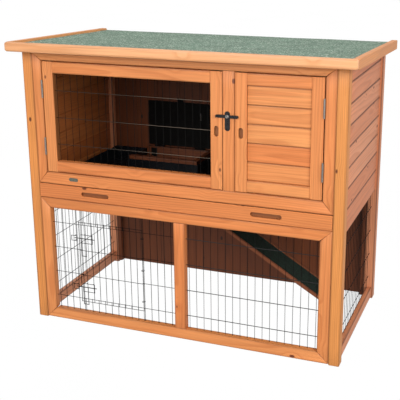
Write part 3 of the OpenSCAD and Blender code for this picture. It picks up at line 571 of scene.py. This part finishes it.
low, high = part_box("rear_rails")
RAIL_H, RAIL_T = 36 * MM, 5.9 * MM
RAIL_FEET = (12 * MM, 420 * MM, 885 * MM)
BATTEN_W, BATTEN_T, BATTEN_TOP = 15 * MM, 19.95 * MM, 441.4 * MM
rails = [board((low[X], high[Y] - RAIL_T, z), (high[X], high[Y], z + RAIL_H), X, r=1 * MM) for z in RAIL_FEET]
battens = [board((x, low[Y], low[Z]), (x + BATTEN_W, low[Y] + BATTEN_T, BATTEN_TOP), Z, r=1 * MM)
           for x in (low[X], high[X] - BATTEN_W)]
timber("rear_rails_timber", rails + battens, pine_inner, "frame", ["rear_rails"])

SIDE_RAIL_W, RUNNER_W = 20 * MM, 24 * MM
for name, width, material, slot in (("side_bottom_rails", SIDE_RAIL_W, pine_side, "pine_side"),
                                    ("floor_runners", RUNNER_W, pine_inner, "pine_inner")):
    low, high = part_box(name)
    pair = [board((x, low[Y], low[Z]), (x + width, high[Y], high[Z]), Y) for x in (low[X], high[X] - width)]
    timber(name + "_timber", pair, material, "frame", [name])

# ---------- doors ----------

DOOR_RAIL = 38 * MM
for door in ("mesh_door", "solid_door"):
    low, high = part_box(door + "_rails")
    rails = [board((low[X], low[Y], z), (high[X], high[Y], z + DOOR_RAIL), X)
             for z in (low[Z], high[Z] - DOOR_RAIL)]
    timber(door + "_rails_timber", rails, pine_board, door, [door + "_rails"])
low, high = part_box("solid_door_boards")
DOOR_BOARDS, BOARD_GAP = 5, 0.6 * MM
pitch = (high[Z] - low[Z] + BOARD_GAP) / DOOR_BOARDS
planks = [board((low[X], low[Y], low[Z] + k * pitch),
                (high[X], high[Y], low[Z] + (k + 1) * pitch - BOARD_GAP), X) for k in range(DOOR_BOARDS)]
timber("solid_door_boards_timber", planks, pine_board, "solid_door", ["solid_door_boards"])

# ---------- hatch and ramp ----------

low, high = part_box("hatch_curb")
CURB, CURB_GAP, CURB_STEP = 18 * MM, 0.3 * MM, 24 * MM
SLIP = 0.1 * MM
curb = [board((low[X], y, low[Z]), (high[X] - SLIP, y + CURB - CURB_GAP, high[Z]), X)
        for y in (low[Y], high[Y] - CURB + CURB_GAP)]
y0, y1 = low[Y] + CURB, high[Y] - CURB
curb += [board((high[X] - CURB, y0, low[Z]), (high[X], y1, high[Z]), Y),
         board((low[X], y0, low[Z]), (low[X] + CURB, y1, low[Z] + CURB_STEP), Y)]
timber("hatch_curb_timber", curb, pine_inner, "frame", ["hatch_curb"])

low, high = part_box("lid_fittings")
TAB_W, TAB_H, TAB_T = 26 * MM, 34 * MM, 2 * MM
tab = board((low[X], high[Y] - TAB_T, high[Z] - TAB_H), (low[X] + TAB_W, high[Y], high[Z]), Z, r=0.6 * MM)
timber("lid_tab", [tab], lid_paint, "lid", ["lid_fittings"], trim=False)
HOOK_D, HOOK_L, HOOK_INSET = 2.6 * MM, 27 * MM, 4 * MM
hook_x, hook_y = high[X] - HOOK_INSET, low[Y] + HOOK_D
hook = wires([(hook_x, hook_y, low[Z])], [(hook_x, hook_y, low[Z] + HOOK_L)], HOOK_D, Z)
wire_piece("lid_hook", [hook], "lid", [], zinc_plate)

RAMP_ANGLE = radians(31.5)
RAMP_HEAD = np.array([-348.5, 198.5, 475.3]) * MM
RAMP_T, RAMP_RAIL_W, RAMP_RAIL_H = 10 * MM, 6.9 * MM, 15 * MM
RAMP_W = 128 * MM
# how far the rails, the board and the felt stay back from the ramp's head and foot
RAIL_HEAD, BOARD_HEAD, FELT_HEAD = 4 * MM, 13 * MM, 15 * MM
BOARD_FOOT, FELT_FOOT = 8 * MM, 25 * MM
TOE, GROUND_GAP = 4 * MM, 0.2 * MM
ramp_length = (RAMP_HEAD[Z] - TOE) / np.sin(RAMP_ANGLE)


def on_ramp(points):
    """Turns points by the ramp's slope about Y, moves them to its head, and keeps them above the ground."""
    turned = points.copy()
    turned[..., X] = points[..., X] * np.cos(RAMP_ANGLE) + points[..., Z] * np.sin(RAMP_ANGLE)
    turned[..., Z] = -points[..., X] * np.sin(RAMP_ANGLE) + points[..., Z] * np.cos(RAMP_ANGLE)
    turned += RAMP_HEAD
    turned[..., Z] = np.maximum(turned[..., Z], GROUND_GAP)
    return turned


rails = [board((RAIL_HEAD, y, -RAMP_T), (ramp_length, y + RAMP_RAIL_W, RAMP_RAIL_H - RAMP_T), X)
         for y in (-RAMP_W / 2, RAMP_W / 2 - RAMP_RAIL_W)]
timber("ramp_rails_timber", rails, pine_ramp, "ramp", ["ramp_rails"], place=on_ramp, trim=False)
inner = RAMP_W / 2 - RAMP_RAIL_W - SLIP
tread = board((BOARD_HEAD, -inner, -RAMP_T), (ramp_length - BOARD_FOOT, inner, 0), X)
timber("ramp_board_timber", [tread], pine_ramp, "ramp", ["ramp_board"], place=on_ramp,
       trim=False)

WAVE = 0.25 * MM


def felt_sheet(name, low, high, top, thick, material, node, body, columns, rows, place=None):
    """A sheet of felt as one closed shell: a section over Y carried along X.

    Its upper face lies at top(y), lowered by slow waves of up to 1 mm; the lower face has none.
    """
    x = np.linspace(low[X], high[X], columns)[:, None]
    y = np.linspace(low[Y], high[Y], rows)[None]
    wave = WAVE * (np.sin(23 * x + 3 * np.sin(9 * y)) + np.sin(31 * y + 2 * np.sin(13 * x)) - 2)
    upper = np.stack([x + 0 * y, y + 0 * x, top(y) + wave], axis=-1)
    lower = np.stack([x + 0 * y, y + 0 * x, top(y) - thick + 0 * x], axis=-1)
    ring = np.concatenate([lower, upper[:, ::-1]], axis=1)[None]
    if place is not None:
        ring = place(ring)
    return shells(name, ring, material, body, [node], angle=50)


low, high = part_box("roof_trim_front")
NOSING, TRIM_ROWS = 5.5 * MM, 21
nosed = board(low, high, X, r=NOSING, rows=TRIM_ROWS)
timber("roof_trim_front_timber", [nosed], pine_trim, "frame", ["roof_trim_front"], trim=False)

low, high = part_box("roof_felt")
FELT_T = 2 * MM


def felt_top(y):
    """Height of the roof felt at depth y."""
    return high[Z] - ROOF_DROP * (y - low[Y]) / (cad_high[Y] - cad_low[Y])


felt_sheet("roof_felt_sheet", low, high, felt_top, FELT_T, roof_felt, "roof_felt", "frame",
           130, 80)
RAMP_FELT_TOP, RAMP_FELT_T, FELT_SIDE = 1.55 * MM, 1.4 * MM, 1 * MM
felt_sheet("ramp_felt_sheet", (FELT_HEAD, FELT_SIDE - inner, 0),
           (ramp_length - FELT_FOOT, inner - FELT_SIDE, 0),
           lambda y: RAMP_FELT_TOP + 0 * y, RAMP_FELT_T, ramp_felt, "ramp_felt", "ramp", 90, 12,
           place=on_ramp)

# ---------- wire meshes ----------

# uprights an inch apart; the level wires are thicker and further apart
WIRE = 1.6 * MM
LEVEL_WIRE, RUN_LEVEL_WIRE = 2.0 * MM, 2.5 * MM
PITCH = 25.4 * MM
LEVEL = 91 * MM
RUN_LEVELS = 88 * MM + LEVEL * np.arange(4)
DOOR_LEVELS = 641 * MM + LEVEL * np.arange(3)


def net_xz(name, first, last, levels, thick):
    """Uprights behind the level wires, from first inside a node's box on the left to last on the right."""
    low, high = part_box(name)
    y_level = low[Y] + thick / 2
    y_up = high[Y] - WIRE / 2
    xs = np.arange(low[X] + first, high[X] - last, PITCH)
    ups = wires([(x, y_up, low[Z]) for x in xs], [(x, y_up, high[Z]) for x in xs], WIRE, Z)
    flats = wires([(low[X], y_level, z) for z in levels], [(high[X], y_level, z) for z in levels], thick, X)
    return ups, flats


DOOR_FIRST, DOOR_LAST = 8 * MM, 4 * MM
ups, flats = net_xz("mesh_door_mesh", DOOR_FIRST, DOOR_LAST, DOOR_LEVELS, LEVEL_WIRE)
wire_piece("mesh_door_uprights", [ups], "mesh_door", ["mesh_door_mesh"])
wire_piece("mesh_door_levels", [flats], "mesh_door", [], material=lit_level_wire)
RUN_FIRST, RUN_LAST = 10 * MM, 6 * MM
ups, flats = net_xz("run_mesh_right", RUN_FIRST, RUN_LAST, RUN_LEVELS, RUN_LEVEL_WIRE)
wire_piece("run_uprights_right", [ups], "frame", ["run_mesh_right"])
wire_piece("run_levels_right", [flats], "frame", [], material=lit_run_level_wire)
SIDE_FIRST, SIDE_LAST = 14 * MM, 6 * MM
for side, sign in (("left", 1), ("right", -1)):
    low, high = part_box("side_mesh_" + side)
    x_out = (low if sign > 0 else high)[X] + sign * WIRE / 2
    x_in = (high if sign > 0 else low)[X] - sign * WIRE / 2
    ys = np.arange(low[Y] + SIDE_FIRST, high[Y] - SIDE_LAST, PITCH)
    ups = wires([(x_in, y, low[Z]) for y in ys], [(x_in, y, high[Z]) for y in ys], WIRE, Z)
    flats = wires([(x_out, low[Y], z) for z in RUN_LEVELS], [(x_out, high[Y], z) for z in RUN_LEVELS],
                  LEVEL_WIRE, Y)
    wire_piece("side_net_" + side, [ups, flats], "frame", ["side_mesh_" + side])

# ---------- carried-over CAD nodes ----------

NODE_MATERIALS = {
    pine_drawer: ["drawer_front"],
    pine_y: ["roof_trims_side"],
    pine_stile: ["mesh_door_stiles", "solid_door_stiles"],
    plywood: ["floor_panel", "partition", "roof_deck", "roof_frame"],
    tray_paint: ["tray"],
    lid_paint: ["hatch_lid", "lid_hinge_fixed", "lid_hinge_moving", "ramp_brackets"],
    wire_enamel: ["run_mesh_left", "wire_door", "wire_door_rings", "latch_guides", "latch_keepers",
                  "wire_latch_upper", "wire_latch_lower"],
    latch_enamel: ["latch_plate", "latch_bar"],
    zinc_plate: ["drawer_screws", "frame_hinge_leaves", "mesh_door_hinge_leaves", "solid_door_hinge_leaves",
                 "door_hinge_pins", "latch_pivot", "ramp_hinge"],
    badge_plastic: ["badge_plate"],
}
for material, names in NODE_MATERIALS.items():
    for name in names:
        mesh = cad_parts[name].data
        mesh.materials.clear()
        mesh.materials.append(material)

# ---------- stage ----------

floor_mesh = bpy.data.meshes.new("studio_floor")
REACH = 14.0
floor_mesh.from_pydata([(-REACH, -REACH, 0), (REACH, -REACH, 0), (REACH, REACH, 0), (-REACH, REACH, 0)], [],
                       [(0, 1, 2, 3)])
floor_mesh.materials.append(floor_material())
floor = bpy.data.objects.new("studio_floor", floor_mesh)
scene.collection.objects.link(floor)
floor.visible_diffuse = False
floor.visible_glossy = False

world = bpy.data.worlds.new("studio")
scene.world = world
world.use_nodes = True
sky = world.node_tree
# the sky is a little brighter above than below
direction = add(sky, "ShaderNodeTexCoord", out="Generated")
upward = add(sky, "ShaderNodeSeparateXYZ", [(0, direction)], out="Z")
glow = add(sky, "ShaderNodeMapRange", [(0, upward), (1, -0.5), (2, 0.5), (3, 0.42), (4, 0.62)])
sky.links.new(glow, sky.nodes["Background"].inputs["Strength"])
sky.nodes["Background"].inputs["Color"].default_value = (1.0, 1.0, 1.0, 1.0)
